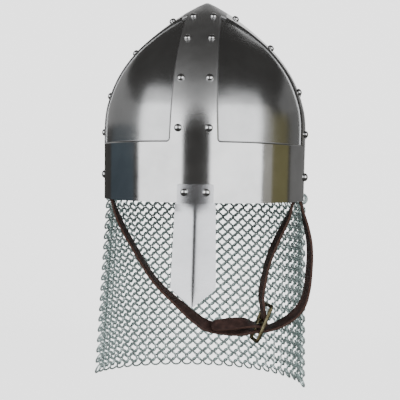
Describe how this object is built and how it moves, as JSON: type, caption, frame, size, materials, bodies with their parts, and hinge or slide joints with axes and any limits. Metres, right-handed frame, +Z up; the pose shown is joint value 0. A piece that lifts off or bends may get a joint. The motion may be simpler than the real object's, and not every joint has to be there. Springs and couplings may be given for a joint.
{
  "type": "norman helmet with aventail",
  "caption": "Conical riveted steel helmet with a nose guard, a hanging mail aventail and a buckled leather chin strap.",
  "frame": {"origin": "centre of the head opening, in the plane of the helmet's lower rim, where it sits on the head", "axes": "+Z up through the crown, the face and the nose guard towards -Y, the wearer's left towards +X"},
  "size_m": [0.2245, 0.2404, 0.4025],
  "materials": {
    "skull_steel": "satin polished steel with fine brushing",
    "panel_steel": "satin polished steel",
    "rivet_steel": "polished steel",
    "mail_steel": "galvanised wire rings, slightly dull",
    "strap_leather": "dark brown leather, lighter cut edges",
    "buckle_brass": "antique brass"
  },
  "bodies": {
    "root": {"aventail": "mail_steel", "buckle_frame": "buckle_brass", "buckle_prong": "buckle_brass", "frame": "skull_steel", "nasal": "skull_steel", "panel_back_left": "panel_steel", "panel_back_right": "panel_steel", "panel_front_left": "panel_steel", "panel_front_right": "panel_steel", "rivet_back_1a": "rivet_steel", "rivet_back_1b": "rivet_steel", "rivet_back_2a": "rivet_steel", "rivet_back_2b": "rivet_steel", "rivet_back_3a": "rivet_steel", "rivet_back_3b": "rivet_steel", "rivet_back_4a": "rivet_steel", "rivet_back_4b": "rivet_steel", "rivet_front_1a": "rivet_steel", "rivet_front_1b": "rivet_steel", "rivet_front_2a": "rivet_steel", "rivet_front_2b": "rivet_steel", "rivet_front_3a": "rivet_steel", "rivet_front_3b": "rivet_steel", "rivet_front_4a": "rivet_steel", "rivet_front_4b": "rivet_steel", "rivet_left_1a": "rivet_steel", "rivet_left_1b": "rivet_steel", "rivet_left_2a": "rivet_steel", "rivet_left_2b": "rivet_steel", "rivet_left_3a": "rivet_steel", "rivet_left_3b": "rivet_steel", "rivet_left_4a": "rivet_steel", "rivet_left_4b": "rivet_steel", "rivet_nasal_a": "rivet_steel", "rivet_nasal_b": "rivet_steel", "rivet_right_1a": "rivet_steel", "rivet_right_1b": "rivet_steel", "rivet_right_2a": "rivet_steel", "rivet_right_2b": "rivet_steel", "rivet_right_3a": "rivet_steel", "rivet_right_3b": "rivet_steel", "rivet_right_4a": "rivet_steel", "rivet_right_4b": "rivet_steel", "rivet_strap_left": "rivet_steel", "rivet_strap_right": "rivet_steel", "strap_long": "strap_leather", "strap_short": "strap_leather"}
  },
  "joints": []
}
